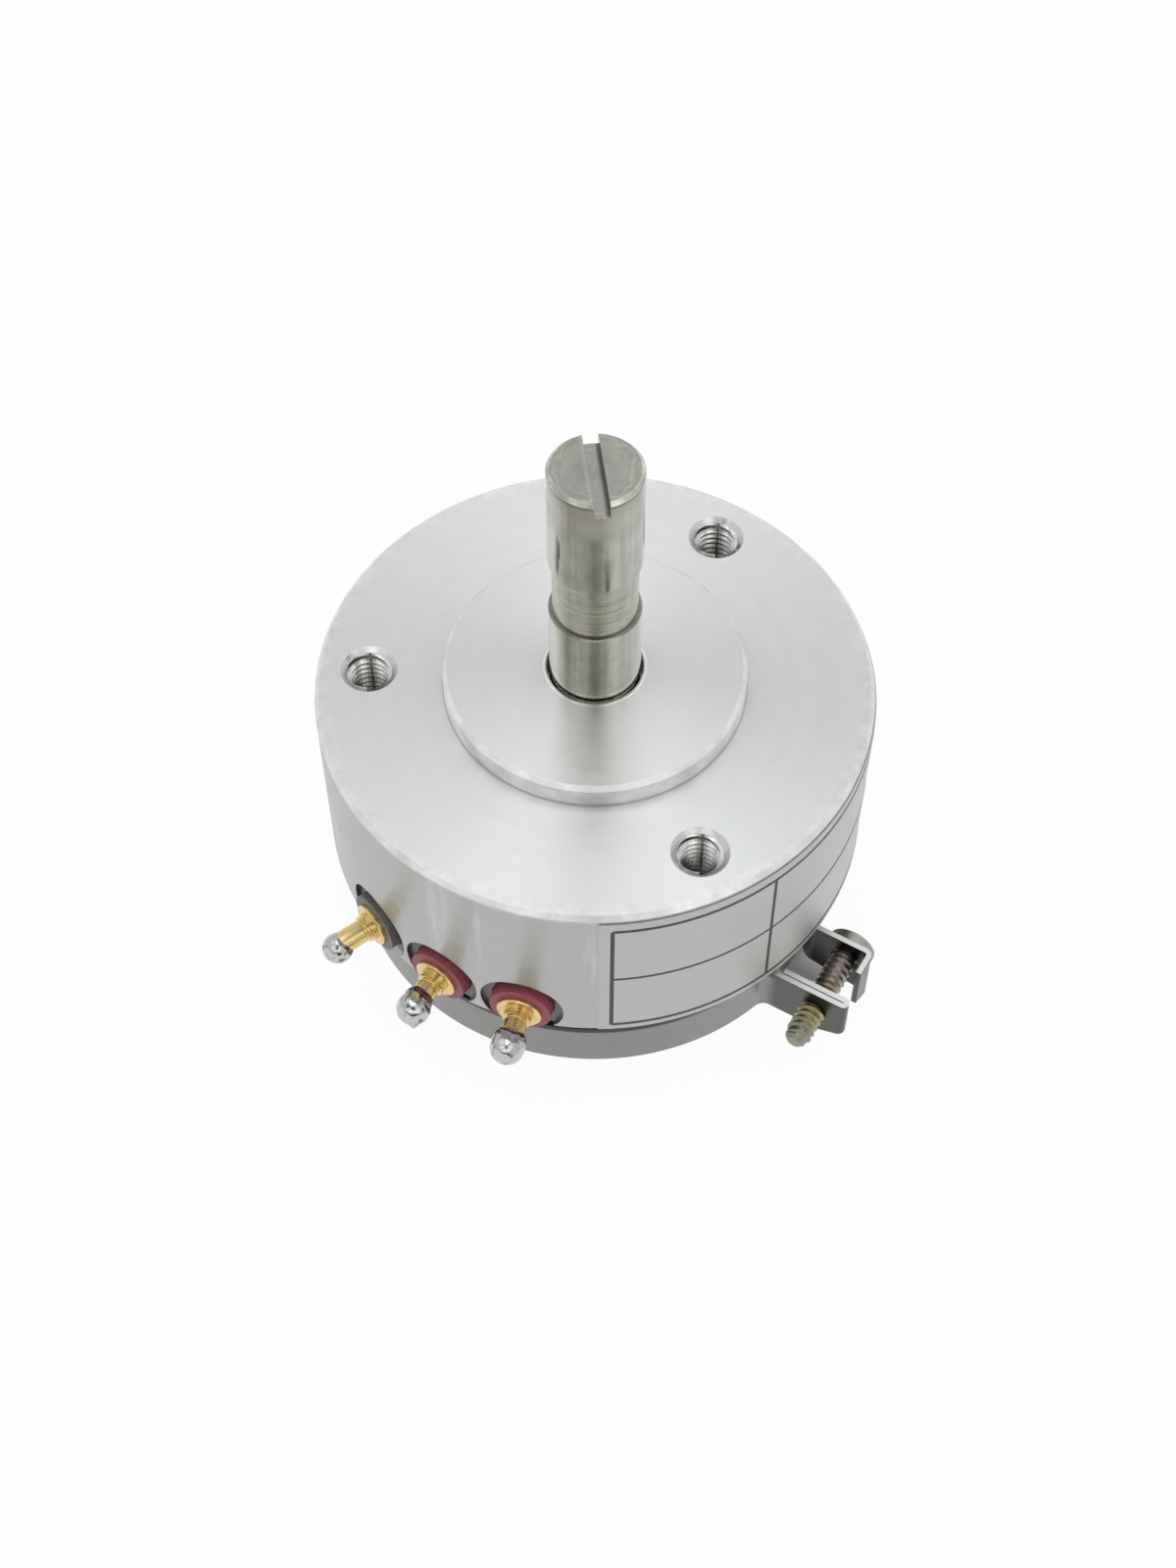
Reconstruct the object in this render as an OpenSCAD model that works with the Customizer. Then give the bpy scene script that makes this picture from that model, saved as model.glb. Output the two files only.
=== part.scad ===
// Rotary precision potentiometer with a pilot boss, ball bearings and a clamp band.
// Millimetres. The origin is on the shaft axis in the plane of the mounting face; +Z runs out along the shaft.

/* [Housing] */
// Outside diameter of the body
body_d = 37; // [36:0.5:40]
// Height of the side wall behind the mounting face
wall_h = 13.8; // [13.4:0.2:14.4]
// Depth of the whole body behind the mounting face
body_depth = 21.4; // [21:0.2:24]
// Diameter of the pilot boss
boss_d = 20; // [18:0.5:22]
// Height of the pilot boss
boss_h = 1.8; // [1.7:0.1:2]
// Chamfer on the outer edges
edge_chamfer = 0.3; // [0.15:0.05:0.5]

/* [Mounting holes] */
// Pitch circle of the tapped holes
mount_pcd = 30; // [28:0.5:31]
// Nominal thread diameter of the tapped holes
mount_hole_d = 3; // [2.5:0.1:3.2]
// Countersink diameter at the face
mount_csk_d = 3.8; // [3.4:0.1:4.2]
// Straight depth of the tapped holes
mount_hole_depth = 5; // [3:0.1:5]

/* [Shaft] */
// Diameter of the shaft
shaft_d = 6; // [5.6:0.1:6]
// Height of the shaft end above the mounting face
shaft_top = 20.7; // [17:0.1:28]
// Diameter of the shallow neck
neck_d = 5.5; // [5:0.1:5.5]
// Height where the neck starts
neck_from = 8; // [5:0.1:9]
// Height where the neck ends
neck_to = 12.6; // [10:0.1:14]
// Width of the screwdriver slot
slot_w = 1; // [0.8:0.05:1.4]
// Depth of the screwdriver slot
slot_depth = 1.1; // [0.8:0.1:1.6]
// Direction of the slot at rest, in degrees
slot_turn = 101; // [0:1:180]

/* [Terminals] */
// Direction of the middle terminal, in degrees
terminal_turn = 240; // [236:1:244]
// Angle between neighbouring terminals
terminal_step = 18.6; // [18.4:0.1:21]
// Diameter of the spot-faced openings in the side wall
opening_d = 5.7; // [5.2:0.1:5.8]
// Depth of the spot faces
opening_depth = 0.55; // [0.4:0.05:0.8]
// Diameter of the insulator bushings
insulator_d = 4.2; // [4:0.05:4.6]
// Diameter of the terminal flanges
flange_d = 3.05; // [2.8:0.05:3.6]
// Diameter of the turned posts that the wires are soldered to
post_d = 1.6; // [1.5:0.05:1.8]
// Diameter of the soldered tips
tip_d = 2.3; // [2.2:0.05:2.4]

/* [Clamp band] */
// Width of the strap
band_w = 4.2; // [3.8:0.1:4.2]
// Thickness of the strap
band_t = 0.38; // [0.32:0.02:0.5]
// Direction in which the ears stand out, in degrees
ear_turn = -26.5; // [-40:0.5:-20]
// Distance of the ear ends from the shaft axis
ear_reach = 22.6; // [22.3:0.1:24]
// Clear space between the two ears
ear_gap = 3.9; // [3.4:0.1:4.2]
// Length of the hook on the far ear
hook_l = 2.1; // [1.6:0.05:2.5]
// Length of the clamp screw under its head
screw_l = 8; // [7:0.1:10]

/* [Label] */
// Direction of the left edge of the label, in degrees
label_from = -85.5; // [-92:0.5:-80]
// Angle that the label covers
label_span = 124; // [90:1:150]

/* [Bearings] */
// Outside diameter of both ball bearings
bearing_d = 13; // [12.6:0.1:13]
// Width of each bearing
bearing_w = 3.5; // [3.4:0.05:3.6]
// Diameter of the balls
ball_d = 2; // [1.9:0.05:2]
// Number of balls in each bearing
ball_count = 7; // [6:1:8]
// Distance between the two bearings
bearing_gap = 6; // [5.8:0.1:6]

/* [Element] */
// Electrical angle of the resistive track
track_angle = 345; // [330:1:348]
// Direction of the wiper at rest, in degrees
wiper_turn = 60; // [0:1:200]

/* [Hidden] */
$fn = 72;
eps = 0.01;

body_r = body_d / 2;
boss_r = boss_d / 2;
shaft_r = shaft_d / 2;
neck_r = neck_d / 2;

// strap, rear cover, housing spigot and cavity nest inside one another
wall_chamfer = edge_chamfer / 2;
cover_r = body_r - 1.8;
band_r = cover_r + band_t;
cover_t = 0.6;
spigot_r = cover_r - cover_t;
cavity_r = spigot_r - 0.9;
cover_top = -(wall_h + 1.4);
cover_floor_t = 0.8;
cover_round = 0.9;
spigot_end = -(body_depth - 1.8);
plate_t = 6.4;

// bearing stack, from the lip in the boss to the retaining ring
lip_r = shaft_r + 0.3;
lip_t = 1.2;
bearing_r = bearing_d / 2;
seat_z = boss_h - lip_t;
front_z = seat_z - bearing_w;
rear_z = front_z - bearing_gap - bearing_w;
ball_r = ball_d / 2;
pitch_r = (bearing_r + shaft_r) / 2;
race_r = ball_r + 0.02;
shoulder_drop = 0.75;
inner_shoulder_r = pitch_r - shoulder_drop;
outer_shoulder_r = pitch_r + shoulder_drop;
cage_half_t = 0.45;
ring_t = 0.7;
ring_groove_r = bearing_r + 0.45;
hub_r = bearing_r + 2;
hub_end = rear_z - ring_t - 1.1;
clip_groove_r = shaft_r - 0.4;
clip_r = 4.3;

// element ring inside the housing, carrying the track on its rear face
terminal_z = -(wall_h - 1.9);
element_top = terminal_z + 2.7;
element_rear = terminal_z - 2.5;
web_t = 1.4;
web_in_r = hub_r + 0.9;
rim_in_r = cavity_r - 1.9;
film_t = 0.15;
track_r0 = cavity_r - 2.8;
track_r1 = cavity_r - 1;
collector_r0 = web_in_r + 0.4;
collector_r1 = collector_r0 + 1.6;
lead_r = 0.25;
lead_track_r = rim_in_r - 0.4;
lead_collector_r = (collector_r0 + collector_r1) / 2;
track_gap_half = (360 - track_angle) / 2;
lead_inset = 3;

// radial stations along a terminal, measured from the shaft axis
insulator_gap = 0.05;
shank_r = 0.6;
shank_in = rim_in_r - 0.6;
flange_in = body_r + 0.25;
flange_out = flange_in + 0.35;
post_r = post_d / 2;
post_out = flange_out + 2.4;
tip_r = tip_d / 2;

// rotor behind the element
rotor_z = element_rear - 1.8;
rotor_t = 1.2;
rotor_r = cavity_r - 0.6;
rotor_hub_r = 5.3;
rotor_hub_top = rear_z - ring_t - 0.3;
rotor_flange_r = 7.6;
rotor_flange_t = 0.8;
rotor_hub_end = rotor_z - rotor_t - rotor_flange_t - 0.4;
shaft_end = rotor_hub_end - 0.3;
set_screw_r = 0.95;
set_screw_z = rotor_z + 1;

// strap ears, in a frame turned so that they stand out along +X
band_bottom = -(body_depth - 0.85);
far_in = -0.1;
near_in = far_in - ear_gap;
hem_slit = 0.07;
near_mid = near_in - band_t - hem_slit;
near_out = near_mid - band_t;
bend_r = 0.85;
bend_lap = 0.05;
bend_ring_r = band_r + bend_r;
far_bend_y = far_in + band_t + bend_r;
far_bend_x = sqrt(pow(bend_ring_r, 2) - pow(far_bend_y, 2));
near_bend_y = near_out - bend_r;
near_bend_x = sqrt(pow(bend_ring_r, 2) - pow(near_bend_y, 2));
hem_r = band_t + hem_slit / 2;
hook_x = ear_reach - 0.4;
hook_end = far_in + band_t - hook_l;
hook_drop = 0.75;
screw_x = ear_reach - 2.35;
screw_z = band_bottom + band_w / 2;
screw_core_r = 0.75;
screw_head_r = 1.7;
screw_head_h = 1.5;

// sticker on the side wall, over a film of adhesive
label_t = 0.08;
adhesive_t = 0.02;
label_top = -0.55;
label_bottom = -(wall_h - 0.2);

terminal_angles = [terminal_turn - terminal_step, terminal_turn, terminal_turn + terminal_step];

// tube between two radii, from height z0 up to z1
module tube(r0, r1, z0, z1) {
    rotate_extrude()
        translate([r0, z0])
            square([r1 - r0, z1 - z0]);
}

// cylinder that lies along the radius at angle a and height z, from distance u0 to u1
module radial_rod(a, z, r, u0, u1) {
    rotate([0, 0, a])
        translate([u0, 0, z])
            rotate([0, 90, 0])
                cylinder(r = r, h = u1 - u0);
}

// plane sector that covers the angles a0 to a1, no more than a half turn
module sector(a0, a1, r) {
    mid = (a0 + a1) / 2;
    polygon([
        [0, 0],
        r * [cos(a0), sin(a0)],
        2 * r * [cos((a0 + mid) / 2), sin((a0 + mid) / 2)],
        2 * r * [cos((a1 + mid) / 2), sin((a1 + mid) / 2)],
        r * [cos(a1), sin(a1)]
    ]);
}

module front_housing() {
    color([0.85, 0.85, 0.86])
    difference() {
        rotate_extrude()
            polygon([
                [lip_r, boss_h],
                [boss_r - edge_chamfer, boss_h],
                [boss_r, boss_h - edge_chamfer],
                [boss_r, 0],
                [body_r - edge_chamfer, 0],
                [body_r, -edge_chamfer],
                [body_r, -wall_h + wall_chamfer],
                [body_r - wall_chamfer, -wall_h],
                [spigot_r, -wall_h],
                [spigot_r, spigot_end],
                [cavity_r, spigot_end],
                [cavity_r, -plate_t],
                [hub_r, -plate_t],
                [hub_r, hub_end],
                [bearing_r, hub_end],
                [bearing_r, rear_z - ring_t],
                [ring_groove_r, rear_z - ring_t],
                [ring_groove_r, rear_z],
                [bearing_r, rear_z],
                [bearing_r, seat_z],
                [outer_shoulder_r, seat_z],
                [outer_shoulder_r, seat_z + 0.3],
                [lip_r, seat_z + 0.3]
            ]);
        for (a = [60, 180, 300])
            rotate([0, 0, a])
                translate([mount_pcd / 2, 0, 0])
                    mount_hole();
        for (a = terminal_angles) {
            radial_rod(a, terminal_z, opening_d / 2, body_r - opening_depth, body_r + 1);
            radial_rod(a, terminal_z, insulator_d / 2 + insulator_gap, cavity_r - 2, body_r);
        }
    }
}

// blind tapped hole with a right-angled countersink and a drill point
module mount_hole() {
    csk_r = mount_csk_d / 2;
    hole_r = mount_hole_d / 2;
    csk_h = csk_r - hole_r;
    rotate_extrude()
        polygon([
            [0, 1],
            [csk_r, 1],
            [csk_r, 0],
            [hole_r, -csk_h],
            [hole_r, -mount_hole_depth],
            [0, -mount_hole_depth - hole_r / 2]
        ]);
}

module rear_cover() {
    color([0.62, 0.63, 0.64])
    rotate_extrude()
        difference() {
            union() {
                translate([0, -body_depth])
                    square([cover_r - cover_round, body_depth + cover_top]);
                translate([0, -body_depth + cover_round])
                    square([cover_r, body_depth + cover_top - cover_round]);
                translate([cover_r - cover_round, -body_depth + cover_round])
                    circle(cover_round);
            }
            translate([-eps, -body_depth + cover_floor_t])
                square([spigot_r + eps, body_depth]);
            translate([-2 * cover_round, -2 * body_depth])
                square([2 * cover_round, 3 * body_depth]);
        }
}

// outline of the strap: ring, two bends, hemmed near ear and hooked far ear
module band_outline() {
    far_a = atan2(far_bend_y, far_bend_x);
    near_a = atan2(near_bend_y, near_bend_x);
    lap_a = 3;
    difference() {
        circle(band_r);
        circle(cover_r);
        sector(near_a, far_a, 2 * band_r);
    }
    translate([far_bend_x, far_bend_y])
        intersection() {
            bend_ring();
            sector(180 + far_a - lap_a, 270, 4);
        }
    translate([near_bend_x, near_bend_y])
        intersection() {
            bend_ring();
            sector(90, 180 + near_a + lap_a, 4);
        }
    far_ear_outline();
    near_ear_outline();
}

// a hair thinner than the strap, so that a bend ends inside the stretches on both sides of it
module bend_ring() {
    seam = 0.005;
    difference() {
        circle(bend_r + band_t - seam);
        circle(bend_r + seam);
    }
}

// rectangle between two corners with its upper right corner rounded
module round_block(x0, y0, x1, y1, r) {
    translate([x0, y0])
        square([x1 - x0 - r, y1 - y0]);
    translate([x0, y0])
        square([x1 - x0, y1 - y0 - r]);
    translate([x1 - r, y1 - r])
        circle(r);
}

module far_ear_outline() {
    corner_in = 0.2;
    difference() {
        round_block(far_bend_x - bend_lap, hook_end, hook_x, far_in + band_t, corner_in + band_t);
        round_block(far_bend_x - 1, hook_end - 1, hook_x - band_t, far_in, corner_in);
    }
}

module near_ear_outline() {
    hem_x = ear_reach - hem_r;
    strip_in = near_bend_x + 0.5;
    difference() {
        union() {
            translate([near_bend_x - bend_lap, near_out])
                square([hem_x - near_bend_x + bend_lap, band_t]);
            translate([strip_in, near_mid])
                square([hem_x - strip_in, band_t + hem_slit]);
            translate([hem_x, near_in - hem_r])
                circle(hem_r);
        }
        translate([strip_in - 1, near_mid])
            square([hem_x - strip_in + 1, hem_slit]);
    }
}

module clamp_band() {
    near_rise = 0.75;
    hook_rise = 1;
    hook_bottom = band_bottom - hook_drop;
    color([0.55, 0.55, 0.55])
    rotate([0, 0, ear_turn])
    difference() {
        union() {
            translate([0, 0, band_bottom])
                linear_extrude(band_w)
                    band_outline();
            translate([0, 0, hook_bottom])
                linear_extrude(band_w)
                    far_ear_outline();
        }
        // lower corner of the hemmed ear
        translate([0, near_in + 1, 0])
            rotate([90, 0, 0])
                linear_extrude(3.5)
                    polygon([
                        [ear_reach - 1.7, band_bottom - 1],
                        [ear_reach - 1.7, band_bottom],
                        [ear_reach + 0.1, band_bottom + near_rise],
                        [ear_reach + 0.1, band_bottom - 1]
                    ]);
        // lower edge of the hooked ear, which falls towards its bend
        translate([0, far_in + band_t + 1, 0])
            rotate([90, 0, 0])
                linear_extrude(band_t + 2)
                    polygon([
                        [far_bend_x - 1, band_bottom],
                        [far_bend_x, band_bottom],
                        [hook_x - band_t, hook_bottom],
                        [hook_x - band_t, hook_bottom - 1],
                        [far_bend_x - 1, hook_bottom - 1]
                    ]);
        // lower edge of the hook, which rises towards its end
        translate([hook_x - 1, 0, 0])
            rotate([90, 0, 90])
                linear_extrude(2)
                    polygon([
                        [far_in, hook_bottom - 1],
                        [far_in, hook_bottom],
                        [hook_end, hook_bottom + hook_rise],
                        [hook_end - 1, hook_bottom + hook_rise],
                        [hook_end - 1, hook_bottom - 1]
                    ]);
        translate([screw_x, far_in + band_t + 1, screw_z])
            rotate([90, 0, 0])
                cylinder(r = screw_core_r + 0.3, h = band_t + 2);
        translate([screw_x, near_in + 1, screw_z])
            rotate([90, 0, 0])
                cylinder(r = screw_core_r + 0.05, h = 2 * band_t + 2);
    }
}

// pan head screw; the thread is left to the visual model
module clamp_screw() {
    dome_r = 2.9;
    tip = 0.25;
    color([0.60, 0.57, 0.42])
    rotate([0, 0, ear_turn])
        translate([screw_x, far_in + band_t, screw_z])
            rotate([-90, 0, 0])
                difference() {
                    union() {
                        rotate_extrude()
                            intersection() {
                                square([screw_head_r, screw_head_h]);
                                translate([0, screw_head_h - dome_r])
                                    circle(dome_r);
                            }
                        rotate_extrude()
                            polygon([
                                [0, eps],
                                [screw_core_r, eps],
                                [screw_core_r, -screw_l + tip],
                                [screw_core_r - tip, -screw_l],
                                [0, -screw_l]
                            ]);
                    }
                    translate([-screw_head_r - 1, -0.25, screw_head_h - 0.6])
                        cube([2 * screw_head_r + 2, 0.5, 1]);
                }
}

module label() {
    color([0.76, 0.77, 0.77])
    rotate([0, 0, label_from])
        rotate_extrude(angle = label_span)
            translate([body_r + adhesive_t, label_bottom])
                square([label_t, label_top - label_bottom]);
}

// insulating bushing between the element ring and a terminal flange
module insulator(a) {
    difference() {
        radial_rod(a, terminal_z, insulator_d / 2, cavity_r - 1, flange_in);
        cylinder(r = cavity_r, h = 4 * body_depth, center = true);
        radial_rod(a, terminal_z, shank_r, cavity_r - 2, flange_in + 1);
    }
}

module insulator_ccw() {
    color([0.36, 0.36, 0.34])
    insulator(terminal_angles[0]);
}

module insulator_wiper() {
    color([0.36, 0.12, 0.16])
    insulator(terminal_angles[1]);
}

module insulator_cw() {
    color([0.36, 0.12, 0.16])
    insulator(terminal_angles[2]);
}

// turned turret terminal, drawn along +Z from the shaft axis and laid along the radius
module terminal(a) {
    color([0.83, 0.68, 0.36])
    rotate([0, 0, a])
        translate([0, 0, terminal_z])
            rotate([0, 90, 0])
                rotate_extrude()
                    polygon([
                        [0, shank_in],
                        [shank_r, shank_in],
                        [shank_r, flange_in],
                        [flange_d / 2, flange_in],
                        [flange_d / 2, flange_out - 0.1],
                        [flange_d / 2 - 0.1, flange_out],
                        [post_r + 0.2, flange_out],
                        [post_r + 0.2, flange_out + 0.2],
                        [post_r, flange_out + 0.2],
                        [post_r, flange_out + 0.3],
                        [post_r + 0.15, flange_out + 0.35],
                        [post_r + 0.15, flange_out + 0.5],
                        [post_r - 0.08, flange_out + 0.55],
                        [post_r - 0.08, flange_out + 0.7],
                        [post_r, flange_out + 0.75],
                        [post_r, post_out],
                        [0, post_out]
                    ]);
}

module terminal_ccw() {
    terminal(terminal_angles[0]);
}

module terminal_wiper() {
    terminal(terminal_angles[1]);
}

module terminal_cw() {
    terminal(terminal_angles[2]);
}

// solder was put on by hand, so each post carries another shape
module solder_tips() {
    color([0.80, 0.80, 0.80])
    union() {
        on_post(terminal_angles[0])
            solder_ball(post_out + 0.2, 0.25, tip_r - 0.1);
        on_post(terminal_angles[1])
            union() {
                solder_ball(post_out - 0.05, 0.3, tip_r)
                    solder_point(tip_r);
                solder_foot();
            }
        on_post(terminal_angles[2])
            solder_sleeve();
    }
}

// lays solder on the post of the terminal at angle a, with the room of the post left free
module on_post(a) {
    rotate([0, 0, a])
        translate([0, 0, terminal_z])
            difference() {
                children();
                rotate([0, 90, 0])
                    cylinder(r = post_r + eps, h = post_out + eps);
            }
}

// ball whose centre lies at distance u from the shaft axis and hangs below the line of the post
module solder_ball(u, hang, r) {
    translate([u, 0, -hang]) {
        sphere(r);
        children();
    }
}

// point that the iron drew out of a ball, outwards and down
module solder_point(r) {
    rotate([0, 125, 34])
        translate([0, 0, 0.78 * r])
            cylinder(r1 = 0.54 * r, r2 = 0.07 * r, h = 0.38 * r);
}

// taper where the solder has run back along the post
module solder_foot() {
    rotate([0, 90, 0])
        translate([0, 0, post_out - 1.1])
            cylinder(r1 = post_r + 0.05, r2 = tip_r - 0.1, h = 0.55);
}

// round-ended cap, longer than a ball
module solder_sleeve() {
    half = 0.18;
    rotate([0, 90, 0])
        rotate_extrude()
            difference() {
                union() {
                    for (side = [-1, 1])
                        translate([0, post_out + side * half])
                            circle(tip_r);
                    translate([0, post_out - half])
                        square([tip_r, 2 * half]);
                }
                translate([-2 * tip_r, 0])
                    square([2 * tip_r, 2 * post_out]);
            }
}

module element_ring() {
    color([0.40, 0.13, 0.17])
    difference() {
        rotate_extrude()
            polygon([
                [rim_in_r, element_top],
                [cavity_r, element_top],
                [cavity_r, element_rear],
                [web_in_r, element_rear],
                [web_in_r, element_rear + web_t],
                [rim_in_r, element_rear + web_t]
            ]);
        for (a = terminal_angles)
            radial_rod(a, terminal_z, shank_r, rim_in_r - 1, cavity_r + 1);
        for (side = [-1, 1])
            lead_hole(terminal_turn + side * (track_gap_half + lead_inset), lead_track_r);
        lead_hole(terminal_turn, lead_collector_r);
    }
}

module lead_hole(a, r) {
    rotate([0, 0, a])
        translate([r, 0, element_rear - 1])
            cylinder(r = lead_r, h = web_t + 2);
}

module resistive_track() {
    color([0.10, 0.10, 0.10])
    rotate([0, 0, terminal_turn + track_gap_half])
        rotate_extrude(angle = track_angle)
            translate([track_r0, element_rear - film_t])
                square([track_r1 - track_r0, film_t]);
}

module collector_ring() {
    color([0.78, 0.62, 0.30])
    tube(collector_r0, collector_r1, element_rear - film_t, element_rear);
}

// wire from the outer terminal at +terminal_step round to the track joint, with the middle terminal on +X
module track_lead() {
    joint = track_gap_half + lead_inset;
    color([0.72, 0.45, 0.25])
    difference() {
        union() {
            rotate([0, 0, joint])
                rotate_extrude(angle = terminal_step - joint)
                    translate([lead_track_r, terminal_z])
                        circle(lead_r);
            lead_drop(joint, lead_track_r);
        }
        radial_rod(terminal_step, terminal_z, shank_r, shank_in - 1, rim_in_r);
    }
}

// rounded corner and straight pin down through the web to its rear face
module lead_drop(a, r) {
    rotate([0, 0, a])
        translate([r, 0, 0]) {
            translate([0, 0, terminal_z])
                sphere(lead_r);
            translate([0, 0, element_rear])
                cylinder(r = lead_r, h = terminal_z - element_rear);
        }
}

module lead_ccw() {
    rotate([0, 0, terminal_turn])
        mirror([0, 1, 0])
            track_lead();
}

module lead_wiper() {
    color([0.72, 0.45, 0.25])
    union() {
        radial_rod(terminal_turn, terminal_z, lead_r, lead_collector_r, shank_in);
        lead_drop(terminal_turn, lead_collector_r);
    }
}

module lead_cw() {
    rotate([0, 0, terminal_turn])
        track_lead();
}

module outer_spacer() {
    color([0.70, 0.70, 0.71])
    tube(outer_shoulder_r + 0.1, bearing_r, front_z - bearing_gap, front_z);
}

module inner_spacer() {
    color([0.66, 0.66, 0.67])
    tube(shaft_r, inner_shoulder_r - 0.1, front_z - bearing_gap, front_z);
}

// sprung ring with two eyed lugs, in the groove of the housing hub
module retaining_ring() {
    half_gap = 16;
    lug_r = 0.85;
    lug_turn = half_gap + 6;
    lug_at = bearing_r - 0.75;
    color([0.40, 0.41, 0.43])
    translate([0, 0, rear_z - ring_t])
        linear_extrude(ring_t)
            difference() {
                union() {
                    difference() {
                        circle(ring_groove_r);
                        circle(bearing_r - 0.8);
                        sector(-half_gap, half_gap, 2 * bearing_r);
                    }
                    for (a = [-lug_turn, lug_turn])
                        rotate([0, 0, a])
                            translate([lug_at, 0])
                                circle(lug_r);
                }
                for (a = [-lug_turn, lug_turn])
                    rotate([0, 0, a])
                        translate([lug_at, 0])
                            circle(0.4);
            }
}

module outer_ring(z) {
    color([0.72, 0.73, 0.74])
    rotate_extrude()
        difference() {
            translate([outer_shoulder_r, z])
                square([bearing_r - outer_shoulder_r, bearing_w]);
            translate([pitch_r, z + bearing_w / 2])
                circle(race_r);
        }
}

module inner_ring(z) {
    color([0.72, 0.73, 0.74])
    rotate_extrude()
        difference() {
            translate([shaft_r, z])
                square([inner_shoulder_r - shaft_r, bearing_w]);
            translate([pitch_r, z + bearing_w / 2])
                circle(race_r);
        }
}

module at_balls(z) {
    for (i = [0 : ball_count - 1])
        rotate([0, 0, i * 360 / ball_count])
            translate([pitch_r, 0, z + bearing_w / 2])
                children();
}

module balls(z) {
    color([0.85, 0.86, 0.87])
    at_balls(z)
        sphere(ball_r);
}

// crown cage, open on the side of the mounting face
module cage(z) {
    centre = z + bearing_w / 2;
    color([0.62, 0.50, 0.28])
    difference() {
        tube(pitch_r - cage_half_t, pitch_r + cage_half_t, centre - ball_r - 0.45, centre + 0.35);
        at_balls(z)
            sphere(ball_r + 0.06);
    }
}

module front_outer_ring() {
    outer_ring(front_z);
}

module rear_outer_ring() {
    outer_ring(rear_z);
}

module front_inner_ring() {
    inner_ring(front_z);
}

module rear_inner_ring() {
    inner_ring(rear_z);
}

module front_balls() {
    balls(front_z);
}

module rear_balls() {
    balls(rear_z);
}

module front_cage() {
    cage(front_z);
}

module rear_cage() {
    cage(rear_z);
}

module shaft() {
    top_chamfer = 0.25;
    neck_edge = 0.12;
    color([0.74, 0.73, 0.72])
    difference() {
        rotate_extrude()
            polygon([
                [0, shaft_end],
                [shaft_r - 0.3, shaft_end],
                [shaft_r, shaft_end + 0.3],
                [shaft_r, rear_z - ring_t],
                [clip_groove_r, rear_z - ring_t],
                [clip_groove_r, rear_z],
                [shaft_r, rear_z],
                [shaft_r, neck_from - neck_edge],
                [shaft_r - neck_edge, neck_from],
                [neck_r, neck_from],
                [neck_r, neck_to],
                [shaft_r - neck_edge, neck_to],
                [shaft_r, neck_to + neck_edge],
                [shaft_r, shaft_top - top_chamfer],
                [shaft_r - top_chamfer, shaft_top],
                [0, shaft_top]
            ]);
        rotate([0, 0, slot_turn])
            translate([-shaft_d, -slot_w / 2, shaft_top - slot_depth])
                cube([2 * shaft_d, slot_w, slot_depth + 1]);
    }
}

// three-pronged clip in the shaft groove
module shaft_clip() {
    mouth = 1.8 * clip_groove_r;
    color([0.40, 0.41, 0.43])
    translate([0, 0, rear_z - ring_t])
        linear_extrude(ring_t)
            difference() {
                union() {
                    difference() {
                        circle(clip_r);
                        circle(shaft_r + 0.35);
                    }
                    for (a = [0, 120, 240])
                        rotate([0, 0, a])
                            translate([0, -0.7])
                                square([clip_r - 0.5, 1.4]);
                }
                circle(clip_groove_r);
                translate([-2 * clip_r, -mouth / 2])
                    square([2 * clip_r, mouth]);
            }
}

module rotor_hub() {
    color([0.78, 0.64, 0.34])
    difference() {
        rotate_extrude()
            polygon([
                [shaft_r, rotor_hub_top],
                [rotor_hub_r, rotor_hub_top],
                [rotor_hub_r, rotor_z - rotor_t],
                [rotor_flange_r, rotor_z - rotor_t],
                [rotor_flange_r, rotor_z - rotor_t - rotor_flange_t],
                [rotor_hub_r, rotor_z - rotor_t - rotor_flange_t],
                [rotor_hub_r, rotor_hub_end],
                [shaft_r, rotor_hub_end]
            ]);
        radial_rod(wiper_turn + 180, set_screw_z, set_screw_r, 0, rotor_hub_r + 1);
    }
}

// grub screw with a hexagon socket
module hub_set_screw() {
    socket_r = 0.52;
    color([0.30, 0.30, 0.32])
    difference() {
        radial_rod(wiper_turn + 180, set_screw_z, set_screw_r, shaft_r - 1, rotor_hub_r);
        rotate([0, 0, wiper_turn + 180])
            translate([rotor_hub_r - 1, 0, set_screw_z])
                rotate([0, 90, 0])
                    cylinder(r = socket_r, h = 2, $fn = 6);
        cylinder(r = shaft_r, h = 4 * body_depth, center = true);
    }
}

module rotor_disc() {
    color([0.13, 0.13, 0.14])
    tube(rotor_hub_r, rotor_r, rotor_z - rotor_t, rotor_z);
}

// sprung contact that bridges the track and the collector; each finger ends on the line of the wiper
module wiper_contact() {
    plate_t0 = 0.3;
    finger_t = 0.15;
    finger_w = 0.3;
    pitch = 0.45;
    root = -4.6;
    tip_z = element_rear - film_t - 0.03;
    color([0.80, 0.74, 0.52])
    rotate([0, 0, wiper_turn]) {
        translate([collector_r0, -5.4, rotor_z])
            cube([track_r1 - 0.7 - collector_r0, 1.6, plate_t0]);
        for (x = [collector_r0 + 0.1, track_r0 + 0.2])
            for (i = [0 : 2])
                translate([x + i * pitch + finger_w, 0, 0])
                    rotate([90, 0, -90])
                        linear_extrude(finger_w)
                            polygon([
                                [-root, rotor_z + plate_t0 - finger_t],
                                [-root, rotor_z + plate_t0],
                                [3.6, rotor_z + plate_t0],
                                [0.5, tip_z],
                                [-0.1, tip_z],
                                [-0.3, tip_z - 0.2],
                                [-0.1, tip_z - 0.3],
                                [0.4, tip_z - finger_t],
                                [3.5, rotor_z + plate_t0 - finger_t]
                            ]);
    }
}

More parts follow.
